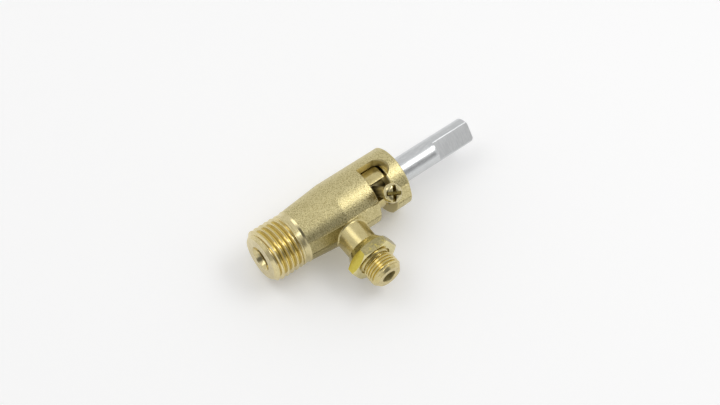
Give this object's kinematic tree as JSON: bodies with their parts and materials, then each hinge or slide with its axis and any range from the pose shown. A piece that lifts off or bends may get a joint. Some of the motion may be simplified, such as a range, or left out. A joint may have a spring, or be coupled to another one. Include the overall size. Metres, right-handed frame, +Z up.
{
  "type": "gas stove valve",
  "caption": "Brass push-and-turn gas cock with a threaded inlet, a threaded side outlet with lock nut, and a D-flat steel control spindle.",
  "frame": {"origin": "centre of the inlet mouth, on its flat end face", "axes": "+X along the main axis from the inlet to the tip of the spindle, -Y along the side outlet, +Z up, square to both"},
  "size_m": [0.0605, 0.0288, 0.0183],
  "materials": {
    "body_brass": "satin forged",
    "plug_brass": "turned",
    "nut_brass": "turned",
    "spindle_steel": "ground",
    "spring_steel": "drawn",
    "screw_plating": "yellow plated"
  },
  "bodies": {
    "body": {"valve_body": "body_brass", "guide_bush": "plug_brass", "lock_nut": "nut_brass"},
    "plug": {"taper_plug": "plug_brass", "return_spring": "spring_steel"},
    "control": {"spindle": "spindle_steel", "stop_screw": "screw_plating"}
  },
  "joints": [
    {"name": "plug_turn", "type": "hinge", "parent": "body", "child": "plug", "pos_m": [0.02067, 0, 0], "axis": [1, 0, 0], "range_deg": [-42.5, 137.5]},
    {"name": "spindle_push", "type": "slide", "parent": "plug", "child": "control", "axis": [1, 0, 0], "range_m": [-0.00085, 0.00125], "stiffness_N_per_m": 250, "springref_m": 0.00125, "deforming": ["return_spring"]}
  ]
}
